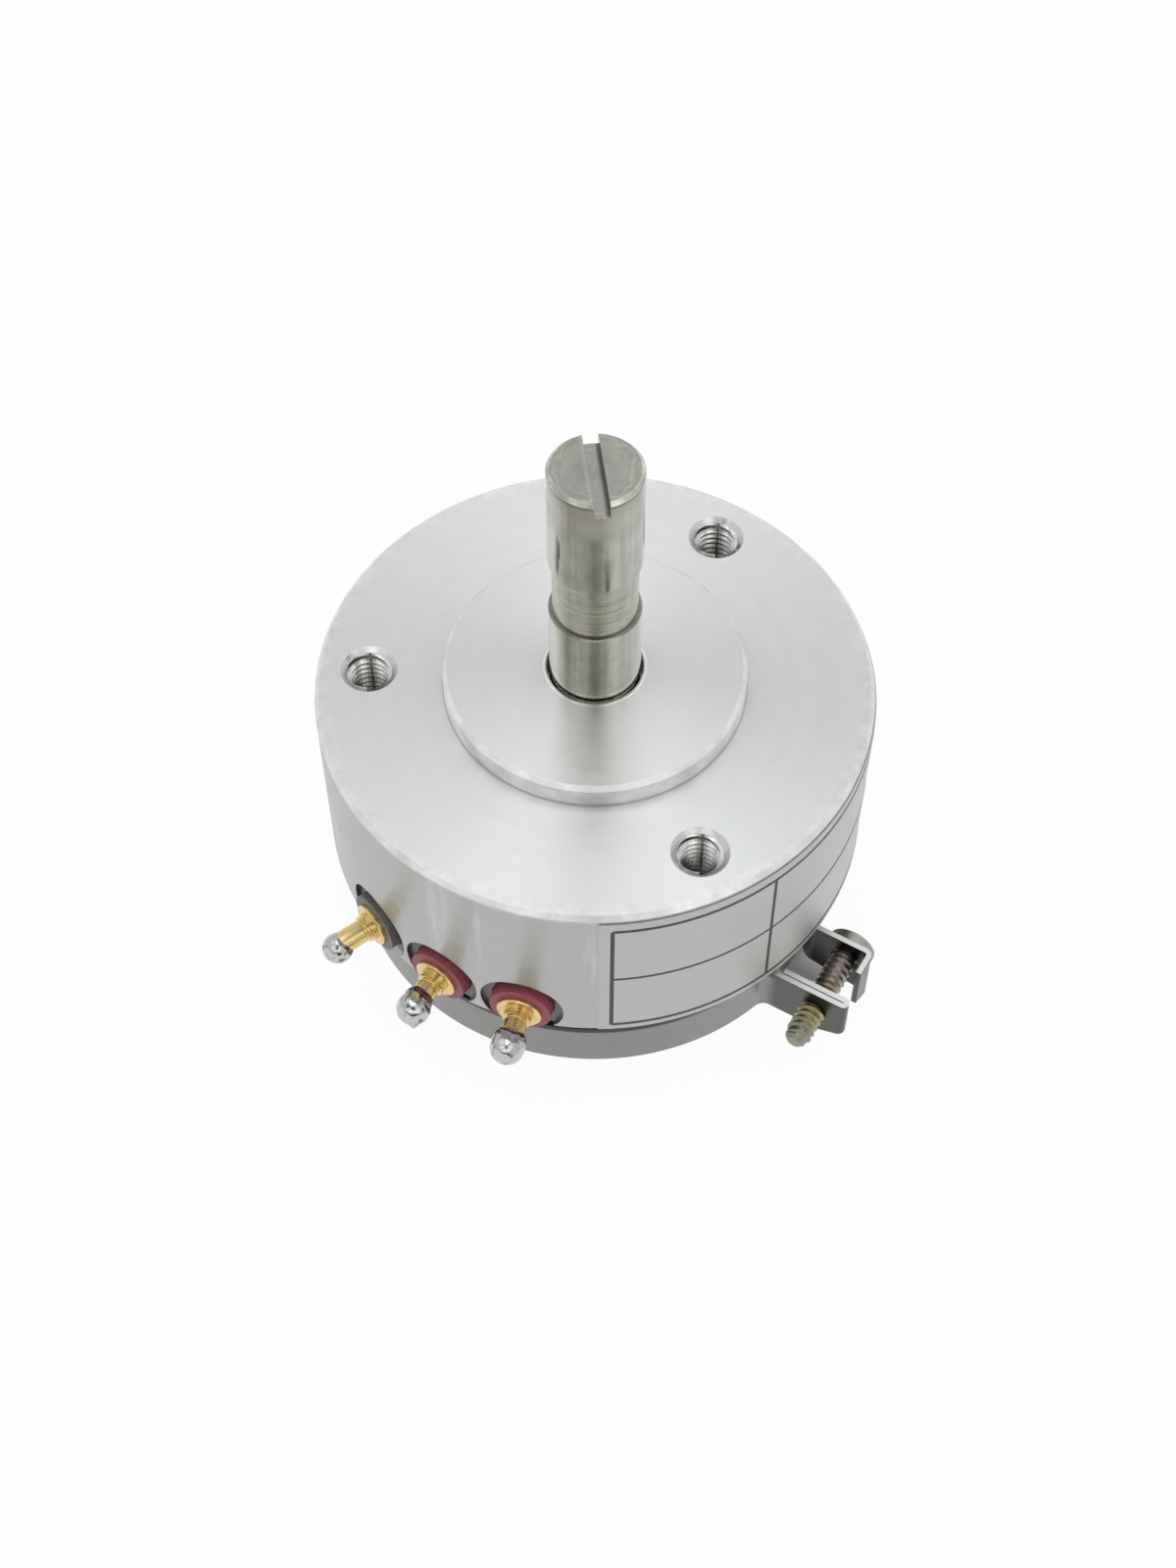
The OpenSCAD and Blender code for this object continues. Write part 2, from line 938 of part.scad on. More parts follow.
front_housing();
rear_cover();
clamp_band();
clamp_screw();
label();
insulator_ccw();
insulator_wiper();
insulator_cw();
terminal_ccw();
terminal_wiper();
terminal_cw();
solder_tips();
element_ring();
resistive_track();
collector_ring();
lead_ccw();
lead_wiper();
lead_cw();
outer_spacer();
retaining_ring();
front_outer_ring();
rear_outer_ring();
shaft();
front_inner_ring();
rear_inner_ring();
inner_spacer();
shaft_clip();
rotor_hub();
hub_set_screw();
rotor_disc();
wiper_contact();
front_balls();
front_cage();
rear_balls();
rear_cage();
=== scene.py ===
import math

import bmesh
import bpy
from mathutils import Matrix, Vector


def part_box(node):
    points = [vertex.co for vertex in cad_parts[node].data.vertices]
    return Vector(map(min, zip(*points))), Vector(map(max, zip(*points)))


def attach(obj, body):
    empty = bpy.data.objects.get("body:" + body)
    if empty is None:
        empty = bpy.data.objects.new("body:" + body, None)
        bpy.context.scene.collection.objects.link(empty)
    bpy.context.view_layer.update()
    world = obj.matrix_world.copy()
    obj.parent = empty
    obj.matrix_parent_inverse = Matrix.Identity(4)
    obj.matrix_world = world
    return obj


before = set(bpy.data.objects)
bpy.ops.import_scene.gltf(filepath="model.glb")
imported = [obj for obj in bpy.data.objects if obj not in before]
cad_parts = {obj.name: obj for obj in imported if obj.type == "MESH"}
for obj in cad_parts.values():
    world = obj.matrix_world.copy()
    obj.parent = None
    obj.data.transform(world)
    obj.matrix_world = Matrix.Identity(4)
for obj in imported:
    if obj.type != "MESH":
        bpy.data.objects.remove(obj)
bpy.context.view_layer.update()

MM = 0.001
scene = bpy.context.scene

# sizes read from the solids, in millimetres
BODY_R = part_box("front_housing")[1].x / MM
BOSS_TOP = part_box("front_housing")[1].z / MM
SHAFT_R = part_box("shaft")[1].x / MM
SHAFT_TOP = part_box("shaft")[1].z / MM
BAND_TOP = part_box("clamp_band")[1].z / MM
REAR_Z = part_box("rear_cover")[0].z / MM

# further dimensions that the drawn details share with the solids, in millimetres and degrees
BOSS_R = 10.0
BORE_R = 3.3
NECK_FROM = 8.0
NECK_TO = 12.6
SLOT_TURN = 101
SLOT_HALF_W = 0.5
HOLE_ANGLES = (60, 180, 300)
HOLE_PITCH_R = 15.0
HOLE_R = 1.5
HOLE_MOUTH_R = 1.9
HOLE_DEPTH = 5.0
BAND_R = 17.08
EAR_TURN = -26.5
SCREW_X = 20.25
SCREW_Z = -18.45
SCREW_R = 0.75
SCREW_TIP_Y = -7.72
LABEL_R = 18.6
LABEL_FROM = -85.5
LABEL_SPAN = 124.0

# one scratch on the shaft: where it crosses the level plane, and its heights
SCRATCH = (-2.08, -2.16)
SCRATCH_FROM = 15.0
SCRATCH_TO = 16.2


class Nodes:
    """Short-hand for building the node tree of one material."""

    def __init__(self, name):
        self.material = bpy.data.materials.new(name)
        self.material.use_nodes = True
        self.tree = self.material.node_tree
        self.tree.nodes.clear()
        self.out = self.add("ShaderNodeOutputMaterial")
        self.shader = self.add("ShaderNodeBsdfPrincipled")
        self.link(self.shader.outputs["BSDF"], self.out.inputs["Surface"])

    def add(self, kind, inputs=None, **settings):
        node = self.tree.nodes.new(kind)
        for key, value in settings.items():
            setattr(node, key, value)
        for key, value in (inputs or {}).items():
            self.feed(node.inputs[key], value)
        return node

    def link(self, a, b):
        self.tree.links.new(a, b)

    def feed(self, socket, value):
        if isinstance(value, bpy.types.NodeSocket):
            self.link(value, socket)
        else:
            socket.default_value = value

    def set(self, **values):
        """Set or link inputs of the shader; underscores stand for spaces."""
        for key, value in values.items():
            self.feed(self.shader.inputs[key.replace("_", " ")], value)

    def math(self, operation, a, b=0.0):
        node = self.add("ShaderNodeMath", {0: a, 1: b}, operation=operation)
        return node.outputs["Value"]

    def place(self):
        """Position on the piece, in millimetres."""
        here = self.add("ShaderNodeTexCoord").outputs["Object"]
        node = self.add("ShaderNodeVectorMath", {0: here, 3: 1 / MM}, operation="SCALE")
        return node.outputs["Vector"]

    def stretch(self, place, x, y, z):
        node = self.add("ShaderNodeVectorMath", {0: place, 1: (x, y, z)}, operation="MULTIPLY")
        return node.outputs["Vector"]

    def radius(self, place):
        """Distance from the shaft axis."""
        node = self.add("ShaderNodeVectorMath", {0: self.stretch(place, 1, 1, 0)}, operation="LENGTH")
        return node.outputs["Value"]

    def height(self, place):
        return self.add("ShaderNodeSeparateXYZ", {0: place}).outputs["Z"]

    def level(self):
        """How level a face lies: one when level, zero when upright."""
        normal = self.add("ShaderNodeNewGeometry").outputs["True Normal"]
        return self.math("ABSOLUTE", self.add("ShaderNodeSeparateXYZ", {0: normal}).outputs["Z"])

    def flat(self):
        """One on faces that lie level, zero on upright ones."""
        return self.span(self.level(), 0.0, 1.0, 0.45, 0.8)

    def away(self, place, point):
        """Distance from an upright line through a point."""
        node = self.add("ShaderNodeVectorMath", {0: self.stretch(place, 1, 1, 0), 1: (*point, 0)},
                        operation="DISTANCE")
        return node.outputs["Value"]

    def from_hole(self, place):
        """Distance from the axis of the nearest mounting hole."""
        gaps = []
        for angle in map(math.radians, HOLE_ANGLES):
            hole = (HOLE_PITCH_R * math.cos(angle), HOLE_PITCH_R * math.sin(angle))
            gaps.append(self.away(place, hole))
        return self.math("MINIMUM", gaps[0], self.math("MINIMUM", gaps[1], gaps[2]))

    def along(self, place, turn):
        """Distance along a level direction, given by its angle."""
        turn = math.radians(turn)
        node = self.add("ShaderNodeVectorMath", {0: place, 1: (math.cos(turn), math.sin(turn), 0)},
                        operation="DOT_PRODUCT")
        return node.outputs["Value"]

    def noise(self, place, scale, detail=3.0, roughness=0.55, seed=None):
        """Cloudy pattern; a seed picks another pattern of the same kind."""
        node = self.add("ShaderNodeTexNoise", {"Vector": place, "Scale": scale, "Detail": detail,
                                               "Roughness": roughness})
        if seed is not None:
            node.noise_dimensions = "4D"
            node.inputs["W"].default_value = seed
        return node.outputs["Fac"]

    def rings(self, profile, scale, detail=2.0):
        """Pattern that changes along one value only, such as the radius."""
        node = self.add("ShaderNodeTexNoise", {"W": profile, "Scale": scale, "Detail": detail},
                        noise_dimensions="1D")
        return node.outputs["Fac"]

    def average(self, a, b, share):
        """Weighted mean of two values, share of the second."""
        return self.math("ADD", self.math("MULTIPLY", a, 1 - share), self.math("MULTIPLY", b, share))

    def span(self, value, low, high, a=0.3, b=0.7):
        """Map a value from a..b to low..high."""
        node = self.add("ShaderNodeMapRange", {"Value": value, "From Min": a, "From Max": b,
                                               "To Min": low, "To Max": high})
        return node.outputs["Result"]

    def within(self, value, low, high, soft):
        """One between two bounds, with soft ends."""
        return self.math("MULTIPLY", self.span(value, 0.0, 1.0, low - soft, low),
                         self.span(value, 1.0, 0.0, high, high + soft))

    def tones(self, value, *stops):
        """Colour ramp from (position, colour) stops."""
        node = self.add("ShaderNodeValToRGB", {"Fac": value})
        elements = node.color_ramp.elements
        elements[0].position = stops[0][0]
        elements[-1].position = stops[-1][0]
        for position, colour in stops[1:-1]:
            elements.new(position)
        for element, (position, colour) in zip(elements, stops):
            element.color = (*colour, 1.0)
        return node.outputs["Color"]

    def mix(self, share, a, b):
        node = self.add("ShaderNodeMix", {"Factor": share}, data_type="RGBA")
        for key, value in (("A_Color", a), ("B_Color", b)):
            socket = next(s for s in node.inputs if s.identifier == key)
            self.feed(socket, value if isinstance(value, bpy.types.NodeSocket) else (*value, 1.0))
        return next(s for s in node.outputs if s.identifier == "Result_Color")

    def bump(self, height, depth, strength=1.0, normal=None):
        inputs = {"Height": height, "Distance": depth * MM, "Strength": strength}
        if normal is not None:
            inputs["Normal"] = normal
        return self.add("ShaderNodeBump", inputs).outputs["Normal"]

    def rounded(self, radius):
        """Normal that rolls over sharp edges."""
        return self.add("ShaderNodeBevel", {"Radius": radius * MM}, samples=6).outputs["Normal"]

    def glint_edges(self, radius):
        """One along sharp edges, zero elsewhere."""
        facing = self.add("ShaderNodeNewGeometry").outputs["Normal"]
        node = self.add("ShaderNodeVectorMath", {0: self.rounded(radius), 1: facing},
                        operation="DOT_PRODUCT")
        return self.span(node.outputs["Value"], 1.0, 0.0, 0.86, 0.995)

    def turning(self):
        """Direction of the lathe marks round Z."""
        return self.add("ShaderNodeTangent", direction_type="RADIAL", axis="Z").outputs["Tangent"]


def shade(colour, factor):
    """Lighter or darker tone of a colour."""
    return tuple(min(1.0, c * factor) for c in colour)


def turned(name, colour, rough, pitch, relief):
    """Lathe-turned metal: rings in tone, gloss and relief round Z, with faint handling marks."""
    n = Nodes(name)
    place = n.place()
    profile = n.math("ADD", n.radius(place), n.height(place))
    fine = n.rings(profile, 1 / pitch, 3.0)
    broad = n.rings(profile, 0.14 / pitch, 1.0)
    marks = n.noise(place, 0.5, 5.0, 0.6)
    tone = n.average(n.average(fine, broad, 0.4), marks, 0.4)
    n.set(Base_Color=n.tones(tone, (0.3, shade(colour, 0.95)), (0.7, shade(colour, 1.05))),
          Roughness=n.span(n.average(broad, marks, 0.6), rough * 0.82, rough * 1.2),
          Normal=n.bump(fine, relief, 0.6, n.rounded(0.05)),
          Metallic=1.0, Anisotropic=0.6, Anisotropic_Rotation=0.25, Tangent=n.turning())
    return n.material


def housing(name):
    """Turned aluminium: bright faces, a greyer side wall of painted shade with painted gleams, painted
    glints on the chamfers and painted shade in the milled pockets.
    """
    face, shaded_wall = (0.738, 0.755, 0.755), (0.5, 0.505, 0.495)
    recess_shade, painted_glint = (0.15, 0.15, 0.145), (0.92, 0.92, 0.91)
    bore_low, bore_mid, bore_top = (0.24, 0.24, 0.235), (0.55, 0.55, 0.545), (0.7, 0.7, 0.695)
    # the chamfers lie within rim_width of the edges, and the terminal pockets below pocket_zone
    rim_width, pocket_zone = 0.4, -7.5
    n = Nodes(name)
    place = n.place()
    radius, height, level = n.radius(place), n.height(place), n.level()
    # lathe rings and handling marks, with painted gleams running upright on the side wall
    profile = n.math("ADD", radius, height)
    fine = n.rings(profile, 8.0, 3.0)
    broad = n.rings(profile, 1.1, 1.0)
    marks = n.noise(place, 0.5, 5.0, 0.6)
    tone = n.average(n.average(fine, broad, 0.4), marks, 0.5)
    # painted gleams: upright streaks of the face's tone on the side wall
    painted_gleam = n.span(n.noise(n.stretch(place, 1.0, 1.0, 0.12), 0.7, 3.0, 0.6), 0.0, 0.4, 0.58, 0.74)
    # painted shade: the side wall takes a darker copy of the face's aluminium
    side = n.math("MULTIPLY", n.span(level, 1.0, 0.0, 0.45, 0.6), n.span(height, 1.0, 0.0, -0.4, -0.25))
    face_metal = n.tones(tone, (0.3, shade(face, 0.965)), (0.7, shade(face, 1.035)))
    wall_metal = n.tones(tone, (0.3, shade(shaded_wall, 0.95)), (0.7, shade(shaded_wall, 1.05)))
    metal = n.mix(side, face_metal, n.mix(painted_gleam, wall_metal, face))
    # painted highlights: bright chamfers of the boss and the body, and a bright side of the boss
    rims = n.math("MAXIMUM", n.within(radius, BOSS_R - rim_width, BOSS_R, 0.05),
                  n.span(radius, 0.0, 1.0, BODY_R - rim_width - 0.05, BODY_R - rim_width))
    chamfer_glint = n.math("MULTIPLY", n.within(level, 0.66, 0.75, 0.04), rims)
    boss_side_glint = n.math("MULTIPLY", n.span(height, 0.0, 1.0, 0.0, 0.1), n.span(level, 1.0, 0.0, 0.3, 0.5))
    bright = n.tones(marks, (0.35, shade(painted_glint, 0.8)), (0.6, painted_glint))
    metal = n.mix(n.math("MAXIMUM", chamfer_glint, boss_side_glint), metal, bright)
    # rubbed patches along the outer rim, mottled with painted glints, and a painted shade line at the
    # foot of the boss
    rim_wear_and_glint = n.math("MULTIPLY", n.span(radius, 0.0, 1.0, BODY_R - 1.3, BODY_R - 0.5),
                 n.span(height, 0.0, 1.0, -0.6, -0.4))
    wear = n.noise(place, 0.9, 4.0, 0.7)
    patch = n.tones(wear, (0.36, shade(face, 0.88)), (0.48, face), (0.62, painted_glint))
    metal = n.mix(n.math("MULTIPLY", rim_wear_and_glint, 0.35), metal, patch)
    boss_foot_shade = n.math("MULTIPLY", n.within(radius, BOSS_R, BOSS_R + 0.05, 0.05),
                  n.span(height, 0.35, 0.0, 0.1, 0.3))
    metal = n.mix(boss_foot_shade, metal, recess_shade)
    # painted shade in the tapped holes: darker than the face, more so below the countersink
    mouth = n.span(n.from_hole(place), 1.0, 0.0, HOLE_MOUTH_R, HOLE_MOUTH_R + 0.1)
    shaded_bore = n.math("MULTIPLY", mouth, n.span(height, 1.0, 0.0, -0.06, -0.01))
    depth = n.span(height, 0.0, 1.0, -2.2, 0.0)
    metal = n.mix(shaded_bore, metal, n.tones(depth, (0.1, bore_low), (0.5, bore_mid), (0.8, bore_top)))
    # painted shade in the recessed metal, such as the pockets round the terminals
    shaded_recess = n.math("MULTIPLY", n.span(radius, 1.0, 0.0, BODY_R - 0.16, BODY_R - 0.06),
                   n.span(height, 1.0, 0.0, pocket_zone - 0.5, pocket_zone))
    rough = n.span(n.average(broad, marks, 0.6), 0.31, 0.4)
    n.set(Base_Color=n.mix(shaded_recess, metal, recess_shade),
          Roughness=n.math("MULTIPLY", rough, n.span(shaded_bore, 1.0, 0.8, 0.0, 1.0)),
          Normal=n.bump(fine, 0.0012, 0.5, n.rounded(0.05)),
          Metallic=1.0, Anisotropic=0.86, Anisotropic_Rotation=0.25, Tangent=n.turning())
    return n.material


def tapped(name):
    """Cut thread in aluminium: bright crests, with painted shade towards the root and with depth."""
    bright, deep_shade = (0.86, 0.86, 0.85), (0.14, 0.14, 0.135)
    root_from, root_to = -0.6, -0.95
    dark_from, dark_to = -0.9, -2.8
    n = Nodes(name)
    place = n.place()
    height = n.height(place)
    marks = n.noise(place, 2.2, 3.0, 0.6)
    metal = n.tones(marks, (0.35, shade(bright, 0.75)), (0.6, bright))
    # painted shade towards the roots below the first turn, and painted shade growing with depth
    root_shade = n.math("MULTIPLY", n.span(n.from_hole(place), 0.0, 0.8, HOLE_R - 0.2, HOLE_R - 0.05),
                  n.span(height, 1.0, 0.0, root_to, root_from))
    depth = n.span(height, 0.8, 0.0, dark_to, dark_from)
    n.set(Base_Color=n.mix(n.math("MAXIMUM", root_shade, depth), metal, deep_shade),
          Roughness=n.span(marks, 0.26, 0.16),
          Normal=n.bump(marks, 0.01, 0.4),
          Metallic=1.0)
    return n.material


def ground(name):
    """Drawn stainless rod: lengthwise bands that are partly a painted reflection, a coarsely turned
    neck, a scuffed end with a painted highlight on its edge, and painted shade in the slot and towards
    the end.
    """
    steel, pale, shade_and_mark = (0.475, 0.457, 0.37), (0.48, 0.476, 0.432), (0.06, 0.058, 0.05)
    band_seed = 3.4
    end_shade_from, end_shade_to = SHAFT_TOP - 3.9, SHAFT_TOP - 0.9
    edge_from, edge_to = SHAFT_TOP - 0.7, SHAFT_TOP - 0.5
    line_from, line_to = SHAFT_TOP - 0.44, SHAFT_TOP - 0.34
    n = Nodes(name)
    place = n.place()
    radius, height, flat = n.radius(place), n.height(place), n.flat()
    # zones: the neck, the end with its level faces, and its scuffed outer part
    neck = n.within(height, NECK_FROM, NECK_TO, 0.1)
    end = n.span(height, 0.0, 1.0, SHAFT_TOP - 1.3, SHAFT_TOP - 1.15)
    top = n.math("MULTIPLY", flat, end)
    scuff = n.math("MULTIPLY", top, n.span(radius, 0.0, 1.0, 1.2, 2.2))
    # patterns: streaks and bands along the rod, clouds, tool marks of the neck, arcs on the end; the
    # lengthwise bands are partly a painted reflection
    streak = n.noise(n.stretch(place, 1.0, 1.0, 0.03), 3.2, 4.0, 0.6)
    bands_and_reflection = n.noise(n.stretch(place, 1.0, 1.0, 0.02), 0.5, 1.0, 0.4, seed=band_seed)
    cloud = n.noise(place, 0.6, 4.0, 0.6)
    tone = n.average(n.average(streak, bands_and_reflection, 0.78), cloud, 0.2)
    cuts = n.rings(n.math("ADD", radius, height), 4.0, 4.0)
    rows = n.math("MULTIPLY", neck, n.span(n.noise(place, 0.7, 2.0), 0.1, 0.7, 0.42, 0.6))
    arcs = n.rings(n.math("ADD", radius, n.math("MULTIPLY", cloud, 1.8)), 4.0, 2.0)
    # colours of the rod, with painted shade towards its end, then of the neck, the end, and its edge
    # with a painted highlight
    metal = n.tones(tone, (0.36, shade(steel, 0.52)), (0.64, shade(pale, 1.4)))
    end_shade = n.tones(tone, (0.35, shade(steel, 0.42)), (0.65, shade(pale, 0.84)))
    metal = n.mix(n.span(height, 0.0, 1.0, end_shade_from, end_shade_to), metal, end_shade)
    metal = n.mix(rows, metal, n.tones(cuts, (0.35, shade(steel, 0.7)), (0.65, shade(steel, 1.3))))
    metal = n.mix(top, metal, n.tones(cloud, (0.35, shade(pale, 0.76)), (0.65, shade(pale, 0.92))))
    metal = n.mix(n.math("MULTIPLY", scuff, 0.35), metal,
                  n.tones(arcs, (0.35, shade(pale, 0.7)), (0.65, shade(pale, 1.2))))
    edge_glint = n.math("MULTIPLY", n.within(n.level(), 0.6, 0.8, 0.05),
                  n.span(height, 0.0, 1.0, edge_from, edge_to))
    metal = n.mix(edge_glint, metal, n.tones(cloud, (0.4, shade(pale, 0.9)), (0.6, shade(pale, 1.5))))
    # rubbed lip beside the slot
    across = n.along(place, SLOT_TURN - 90)
    floor = n.math("MULTIPLY", top, n.span(height, 1.0, 0.0, SHAFT_TOP - 0.9, SHAFT_TOP - 0.7))
    lip = n.math("MULTIPLY", n.math("SUBTRACT", top, floor),
                 n.within(across, -SLOT_HALF_W - 0.1, -SLOT_HALF_W, 0.16))
    metal = n.mix(n.math("MULTIPLY", lip, n.span(arcs, 0.1, 0.65)), metal, shade(pale, 1.25))
    # dark marks: painted shade on the walls and one corner of the slot, a painted shadow line under the
    # end, a dark line under the neck, a scratch, nicks
    inner = n.math("MULTIPLY", n.math("SUBTRACT", end, top),
                   n.span(radius, 1.0, 0.0, SHAFT_R - 0.5, SHAFT_R - 0.2))
    shaded = n.math("MULTIPLY", floor, n.span(across, 0.0, 0.9, SLOT_HALF_W - 0.25, SLOT_HALF_W - 0.08))
    shadow_line = n.math("MULTIPLY", n.within(height, line_from, line_to, 0.05),
                  n.span(radius, 0.0, 0.7, SHAFT_R - 0.1, SHAFT_R - 0.04))
    slot = n.math("MAXIMUM", n.math("MAXIMUM", inner, shaded), shadow_line)
    corner = n.within(height, NECK_FROM - 0.1, NECK_FROM + 0.06, 0.03)
    scratch = n.math("MULTIPLY", n.span(n.away(place, SCRATCH), 1.0, 0.0, 0.05, 0.15),
                     n.within(height, SCRATCH_FROM, SCRATCH_TO, 0.4))
    nick = n.span(n.noise(n.stretch(place, 1.5, 1.5, 0.7), 1.7, 3.0, 0.7), 1.0, 0.0, 0.15, 0.2)
    painted_shade_and_marks = n.math("MAXIMUM", n.math("MAXIMUM", slot, n.math("MULTIPLY", corner, 0.7)),
                  n.math("MAXIMUM", scratch, nick))
    coarse = n.math("MULTIPLY", n.math("MAXIMUM", neck, top), 0.12)
    relief = n.bump(n.math("MULTIPLY", cuts, rows), 0.03, 0.6,
                    n.bump(n.math("MULTIPLY", arcs, scuff), 0.02, 0.6, n.rounded(0.06)))
    n.set(Base_Color=n.mix(n.math("MULTIPLY", painted_shade_and_marks, 0.75), metal, shade_and_mark),
          Roughness=n.math("ADD", n.span(tone, 0.08, 0.15), coarse),
          Normal=n.bump(streak, 0.0015, 0.4, relief),
          Metallic=1.0)
    return n.material


def burnished(name):
    """Bright rubbed edge with fine rings."""
    n = Nodes(name)
    place = n.place()
    marks = n.noise(place, 1.6, 4.0, 0.6)
    n.set(Base_Color=n.tones(marks, (0.3, (0.72, 0.72, 0.71)), (0.6, (0.92, 0.92, 0.91))),
          Roughness=n.span(marks, 0.3, 0.16),
          Normal=n.bump(n.rings(n.radius(place), 20.0), 0.002, 0.5),
          Metallic=1.0)
    return n.material


def plated(name, colour, rough, grain, edge_glint=1.5, spots=0.75):
    """Plated or rolled metal: cloudy plating, fine scratches and brighter edges, a painted highlight."""
    n = Nodes(name)
    place = n.place()
    cloud = n.noise(place, grain, 4.0, 0.6)
    scratch = n.noise(n.stretch(place, 1.0, 1.0, 9.0), grain * 6, 2.0, 0.5)
    base = n.tones(n.average(cloud, scratch, 0.35), (0.3, shade(colour, spots)), (0.55, colour),
                   (0.75, shade(colour, 1.12)))
    n.set(Base_Color=n.mix(n.glint_edges(0.06), base, shade(colour, edge_glint)),
          Roughness=n.span(n.average(cloud, scratch, 0.5), rough * 0.75, rough * 1.3),
          Normal=n.bump(scratch, 0.004, 0.5, n.rounded(0.05)),
          Metallic=1.0)
    return n.material


def strap(name):
    """Sheared steel strip: dull ring with painted shade along its top edge, dark ears with bright cut
    edges, and painted shade on the far ear's inner face.
    """
    sheet, ears = (0.26, 0.26, 0.25), (0.105, 0.108, 0.1)
    cut, painted_shadow = (0.95, 0.95, 0.93), (0.05, 0.051, 0.048)
    n = Nodes(name)
    place = n.place()
    cloud = n.noise(place, 0.5, 3.0, 0.5)
    grain = n.noise(n.stretch(place, 1.0, 1.0, 12.0), 2.5, 3.0, 0.6)
    tone = n.average(cloud, grain, 0.3)
    flat = n.flat()
    bent = n.span(n.radius(place), 0.0, 1.0, BAND_R + 0.2, BAND_R + 0.9)
    across = n.along(place, EAR_TURN + 90)
    # painted shade on the ring's level edges and along its top edge, under the body
    top_edge_shade = n.span(n.height(place), 0.0, 1.0, BAND_TOP - 0.62, BAND_TOP - 0.42)
    ring = n.mix(n.math("MAXIMUM", flat, top_edge_shade),
                 n.tones(tone, (0.3, shade(sheet, 0.92)), (0.7, shade(sheet, 1.08))), painted_shadow)
    # painted shade on the inner face of the far ear
    sides = n.mix(n.within(across, -0.4, -0.03, 0.04),
                  n.tones(tone, (0.3, shade(ears, 0.85)), (0.7, shade(ears, 1.15))), painted_shadow)
    edges = n.tones(tone, (0.3, shade(cut, 0.85)), (0.6, cut))
    n.set(Base_Color=n.mix(bent, ring, n.mix(flat, sides, edges)),
          Roughness=n.span(tone, 0.27, 0.38),
          Normal=n.bump(grain, 0.002, 0.4, n.rounded(0.14)),
          Metallic=n.span(n.math("MULTIPLY", bent, flat), 1.0, 0.1, 0.0, 1.0))
    return n.material


def resin(name, colour, rough, speck, edge_glint=1.6):
    """Moulded resin: filler specks, uneven gloss and slightly paler edges, a painted highlight."""
    n = Nodes(name)
    place = n.place()
    fill = n.noise(place, speck, 5.0, 0.65)
    sink = n.noise(place, speck * 0.2, 2.0)
    base = n.tones(fill, (0.3, shade(colour, 0.7)), (0.55, colour), (0.75, shade(colour, 1.3)))
    n.set(Base_Color=n.mix(n.glint_edges(0.08), base, shade(colour, edge_glint)),
          Roughness=n.span(n.average(fill, sink, 0.5), rough * 0.8, rough * 1.25),
          Normal=n.bump(n.average(fill, sink, 0.4), 0.01, 0.6, n.rounded(0.06)),
          IOR=1.5)
    return n.material


def film(name):
    """Silver sticker: pearly print coat over foil, with a fine grain and slightly lifted marks."""
    n = Nodes(name)
    place = n.place()
    pearl = n.noise(place, 9.0, 4.0, 0.6)
    cloud = n.noise(place, 0.35, 3.0)
    colour = (0.505, 0.51, 0.492)
    n.set(Base_Color=n.tones(n.average(pearl, cloud, 0.5), (0.3, shade(colour, 0.93)),
                             (0.7, shade(colour, 1.06))),
          Roughness=n.span(n.average(pearl, cloud, 0.3), 0.36, 0.5),
          Normal=n.bump(n.average(pearl, cloud, 0.6), 0.006, 0.5),
          Metallic=0.55, Coat_Weight=0.15, Coat_Roughness=0.25)
    return n.material


def ink(name):
    """Printed line: near-black with thin, slightly patchy cover."""
    n = Nodes(name)
    patch = n.noise(n.place(), 6.0, 4.0, 0.7)
    n.set(Base_Color=n.tones(patch, (0.3, (0.018, 0.018, 0.02)), (0.75, (0.06, 0.06, 0.062))),
          Roughness=n.span(patch, 0.4, 0.6),
          Normal=n.bump(patch, 0.004, 0.5))
    return n.material


def tinned(name):
    """Bright tin left by the iron: lumpy and mirror-like, with dark dross between the lumps."""
    n = Nodes(name)
    place = n.place()
    lump = n.noise(place, 0.9, 2.0, 0.4)
    crystal = n.noise(place, 5.0, 3.0, 0.6)
    dross = n.noise(n.stretch(place, 1.0, 1.0, 1.6), 1.4, 3.0, 0.5)
    colour = (0.58, 0.58, 0.57)
    metal = n.tones(crystal, (0.28, shade(colour, 0.55)), (0.4, shade(colour, 0.92)), (0.7, colour))
    n.set(Base_Color=n.mix(n.span(dross, 0.8, 0.0, 0.34, 0.42), metal, (0.08, 0.08, 0.08)),
          Roughness=n.span(crystal, 0.14, 0.05),
          Normal=n.bump(lump, 0.5, 0.4, n.bump(crystal, 0.01, 0.4)),
          Metallic=1.0)
    return n.material


def passivated(name):
    """Yellow zinc: olive and straw on the free end, browner between the ears, grey on the head."""
    n = Nodes(name)
    place = n.place()
    drift = n.noise(place, 0.9, 3.0, 0.5)
    grain = n.noise(place, 5.0, 3.0, 0.6)
    station = n.math("ADD", n.along(place, EAR_TURN + 90), n.span(drift, -0.9, 0.9))
    tint = n.tones(n.span(station, 0.0, 1.0, SCREW_TIP_Y, 1.5), (0.05, (0.34, 0.34, 0.28)),
                   (0.22, (0.46, 0.43, 0.23)), (0.4, (0.42, 0.38, 0.23)), (0.55, (0.5, 0.42, 0.38)),
                   (0.8, (0.46, 0.42, 0.4)), (0.88, (0.44, 0.44, 0.42)))
    base = n.mix(n.span(grain, 0.0, 0.25), tint, (0.14, 0.13, 0.1))
    n.set(Base_Color=base,
          Roughness=n.span(grain, 0.36, 0.5),
          Normal=n.bump(grain, 0.002, 0.5, n.rounded(0.04)),
          Metallic=1.0)
    return n.material


